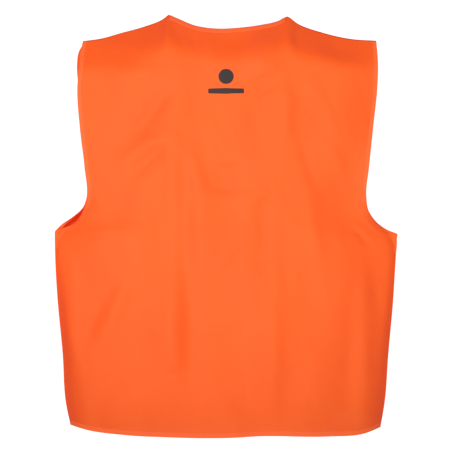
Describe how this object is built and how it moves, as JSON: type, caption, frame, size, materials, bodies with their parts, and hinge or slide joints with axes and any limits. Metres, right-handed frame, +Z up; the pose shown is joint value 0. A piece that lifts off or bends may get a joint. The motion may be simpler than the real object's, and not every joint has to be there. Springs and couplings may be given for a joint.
{
  "type": "blaze orange vest",
  "caption": "Sleeveless high-visibility hunting vest of thin orange cloth, V neck, zip front that opens, low patch pockets, hung by its shoulders.",
  "frame": {"origin": "middle of the shoulder line at the height of the neck points, where a hanger holds the vest", "axes": "+Z up, the back faces -Y and the front faces +Y, +X is the wearer's right"},
  "size_m": [0.5716, 0.1266, 0.7005],
  "materials": {
    "cloth": "matt thin plain-woven polyester, blaze orange, slightly see-through",
    "band": "knitted neck band, a shade lighter",
    "label": "smooth woven satin label",
    "print": "flat dark screen print",
    "tape": "fine herringbone zip tape",
    "coil": "satin nylon coil",
    "zip_plastic": "satin moulded plastic",
    "zip_metal": "dark enamelled zinc, satin"
  },
  "bodies": {
    "vest_body": {"back_panel": "cloth", "back_hem": "cloth", "left_front_side": "cloth", "right_front_side": "cloth", "left_front_side_hem": "cloth", "right_front_side_hem": "cloth", "left_shoulder_seam": "cloth", "right_shoulder_seam": "cloth", "left_side_seam": "cloth", "right_side_seam": "cloth", "left_back_armhole_edge": "cloth", "right_back_armhole_edge": "cloth", "left_front_armhole_edge": "cloth", "right_front_armhole_edge": "cloth", "back_neck_band": "band", "neck_label": "label", "back_print_bar": "print", "back_print_disc": "print"},
    "left_front": {"left_front_flap": "cloth", "left_front_hem": "cloth", "left_neck_band": "band", "left_pocket": "cloth", "left_pocket_hem": "cloth", "left_zip_tape": "tape", "left_zip_coil": "coil", "left_top_stop": "zip_plastic", "zip_box_pin": "zip_plastic", "zip_retainer_box": "zip_plastic"},
    "right_front": {"right_front_flap": "cloth", "right_front_hem": "cloth", "right_neck_band": "band", "right_pocket": "cloth", "right_pocket_hem": "cloth", "right_zip_tape": "tape", "right_zip_coil": "coil", "right_top_stop": "zip_plastic", "zip_insertion_pin": "zip_plastic"},
    "slider": {"zip_slider": "zip_metal"},
    "pull_tab": {"zip_pull_tab": "zip_metal"}
  },
  "joints": [
    {"name": "left_front_swing", "type": "hinge", "parent": "vest_body", "child": "left_front", "pos_m": [-0.098, 0.0152, 0.00007], "axis": [0.1674, -0.0556, 0.9843], "range_deg": [0, 120]},
    {"name": "right_front_swing", "type": "hinge", "parent": "vest_body", "child": "right_front", "pos_m": [0.098, 0.0152, 0.00007], "axis": [0.1674, 0.0556, -0.9843], "range_deg": [0, 120]},
    {"name": "slider_slide", "type": "slide", "parent": "left_front", "child": "slider", "axis": [-0.0332, -0.0564, 0.9979], "range_m": [0, 0.537]},
    {"name": "pull_tab_swing", "type": "hinge", "parent": "slider", "child": "pull_tab", "pos_m": [0.03326, 0.05466, -0.66565], "axis": [0.9994, -0.0019, 0.0331], "range_deg": [0, 170]}
  ]
}
